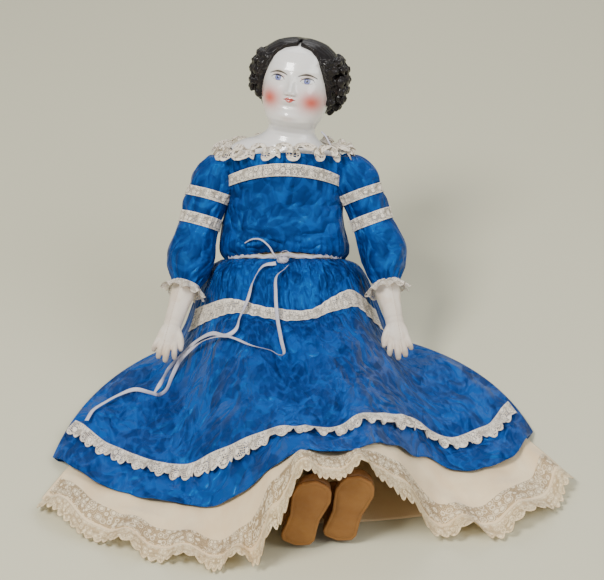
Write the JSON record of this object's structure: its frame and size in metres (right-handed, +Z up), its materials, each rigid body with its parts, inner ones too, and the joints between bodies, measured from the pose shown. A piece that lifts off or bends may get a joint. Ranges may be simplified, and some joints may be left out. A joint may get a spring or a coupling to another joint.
{
  "type": "china shoulder-head doll",
  "caption": "Seated antique doll with a glazed china shoulder head, cloth body, leather arms and boots, and a lace-trimmed blue silk dress over a cream petticoat.",
  "frame": {"origin": "on the floor plane, under the middle of the seat, on the flat underside of the skirt", "axes": "+Z up, -Y the way the doll faces and its legs point, +X the doll's own left"},
  "size_m": [0.5999, 0.5819, 0.3797],
  "materials": {
    "china": "gloss",
    "muslin": "matte",
    "kid": "satin",
    "silk": "satin",
    "cotton": "matte",
    "lace": "matte",
    "edging": "matte",
    "ribbon": "satin",
    "boot_leather": "satin",
    "sole_leather": "matte"
  },
  "bodies": {
    "torso": {"china_shoulder_head": "china", "stuffed_torso": "muslin", "bodice": "silk", "skirt": "silk", "skirt_back_breadth": "silk", "skirt_insertion_lace": "lace", "skirt_lace_ruffle": "lace", "petticoat": "cotton", "petticoat_insertion_lace": "lace", "petticoat_edging": "edging", "petticoat_waistband": "cotton", "waist_beading_lace": "lace", "waist_ribbon": "ribbon", "ribbon_bow": "ribbon", "ribbon_tail_short": "ribbon", "ribbon_tail_long": "ribbon", "ribbon_end_loose": "ribbon", "neck_drawstring": "ribbon", "chest_insertion_lace": "lace", "neck_lace_ruffle": "lace"},
    "upper_arm_left": {"upper_arm_left": "muslin", "sleeve_upper_left": "silk", "sleeve_band_upper_left": "lace", "sleeve_band_lower_left": "lace"},
    "forearm_left": {"leather_forearm_left": "kid", "sleeve_lower_left": "silk", "cuff_lace_ruffle_left": "lace"},
    "leg_left": {"leg_left": "muslin", "boot_left": "boot_leather", "boot_sole_left": "sole_leather"},
    "upper_arm_right": {"upper_arm_right": "muslin", "sleeve_upper_right": "silk", "sleeve_band_upper_right": "lace", "sleeve_band_lower_right": "lace"},
    "forearm_right": {"leather_forearm_right": "kid", "sleeve_lower_right": "silk", "cuff_lace_ruffle_right": "lace"},
    "leg_right": {"leg_right": "muslin", "boot_right": "boot_leather", "boot_sole_right": "sole_leather"}
  },
  "joints": [
    {"name": "shoulder_left", "type": "hinge", "parent": "torso", "child": "upper_arm_left", "pos_m": [0.078, 0.08208, 0.22553], "axis": [-1, 0, 0], "range_deg": [0, 75], "deforming": ["sleeve_upper_left"]},
    {"name": "elbow_left", "type": "hinge", "parent": "upper_arm_left", "child": "forearm_left", "pos_m": [0.116, 0.025, 0.138], "axis": [-1, 0, 0], "range_deg": [0, 75], "deforming": ["sleeve_lower_left", "cuff_lace_ruffle_left"]},
    {"name": "hip_left", "type": "hinge", "parent": "torso", "child": "leg_left", "pos_m": [0.036, -0.022, 0.04], "axis": [-1, 0, 0], "range_deg": [0, 50], "deforming": ["skirt", "skirt_insertion_lace", "skirt_lace_ruffle", "petticoat", "petticoat_insertion_lace", "petticoat_edging", "ribbon_tail_short", "ribbon_tail_long"]},
    {"name": "shoulder_right", "type": "hinge", "parent": "torso", "child": "upper_arm_right", "pos_m": [-0.078, 0.08208, 0.22553], "axis": [-1, 0, 0], "range_deg": [0, 75], "deforming": ["sleeve_upper_right"]},
    {"name": "elbow_right", "type": "hinge", "parent": "upper_arm_right", "child": "forearm_right", "pos_m": [-0.107, 0.022, 0.138], "axis": [-1, 0, 0], "range_deg": [0, 75], "deforming": ["sleeve_lower_right", "cuff_lace_ruffle_right"]},
    {"name": "hip_right", "type": "hinge", "parent": "torso", "child": "leg_right", "pos_m": [-0.036, -0.022, 0.04], "axis": [-1, 0, 0], "range_deg": [0, 50]}
  ],
  "couplings": [
    {"joint": "hip_right", "follows": "hip_left", "ratio": 1}
  ]
}
